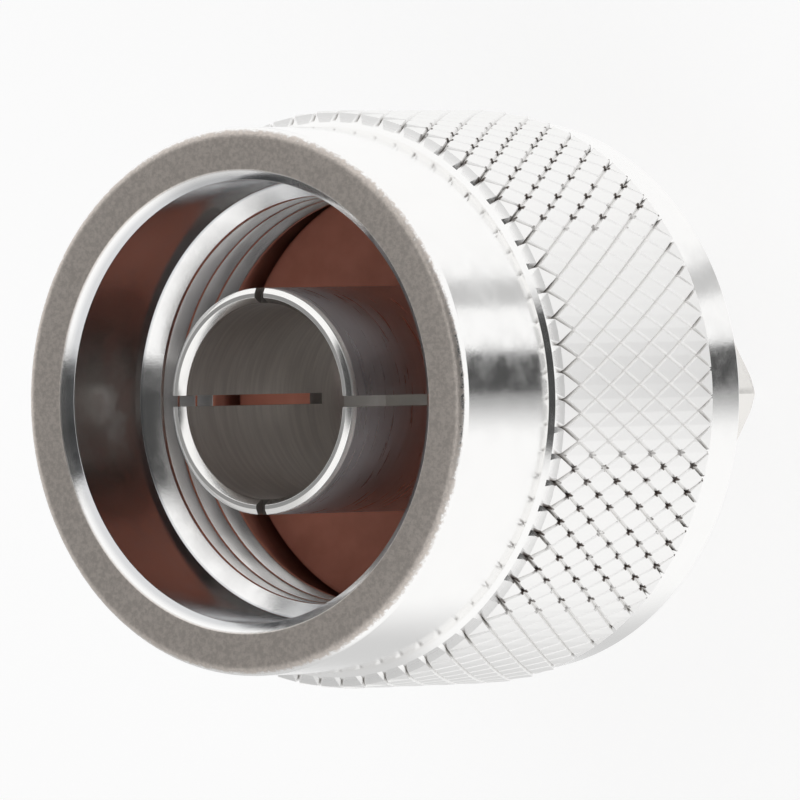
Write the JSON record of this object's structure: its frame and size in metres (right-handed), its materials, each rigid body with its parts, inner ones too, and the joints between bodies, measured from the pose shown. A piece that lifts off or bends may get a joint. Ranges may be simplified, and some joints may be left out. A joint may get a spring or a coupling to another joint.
{
  "type": "coaxial plug connector",
  "caption": "Straight type N coaxial cable plug with a knurled coupling nut, a slotted contact tube, a red gasket and a clamp nut.",
  "frame": {"origin": "middle of the rear face of the clamp nut, on the connector's axis", "axes": "+Z along the connector's axis, from the cable end to the mouth of the coupling nut; +X through a corner of the hexagon"},
  "size_m": [0.021, 0.021, 0.023],
  "materials": {
    "nut_nickel": "bright nickel plating on turned and knurled brass, lightly speckled",
    "body_nickel": "nickel plating on turned brass",
    "contact_plating": "bright plating on turned phosphor bronze",
    "red_silicone": "matte red-brown silicone",
    "spring_bronze": "plain bronze",
    "white_ptfe": "waxy white fluoropolymer",
    "black_rubber": "matte black rubber"
  },
  "bodies": {
    "plug": {"connector_body": "body_nickel", "outer_contact": "contact_plating", "gasket": "red_silicone", "retaining_ring": "spring_bronze", "insulator": "white_ptfe", "braid_clamp": "body_nickel", "clamp_gasket": "black_rubber", "slip_washer": "spring_bronze", "clamp_nut": "body_nickel"},
    "nut": {"coupling_nut": "nut_nickel"}
  },
  "joints": [
    {"name": "nut_turn", "type": "hinge", "parent": "plug", "child": "nut", "pos_m": [0, 0, 0.009], "axis": [0, 0, 1], "continuous": true}
  ]
}
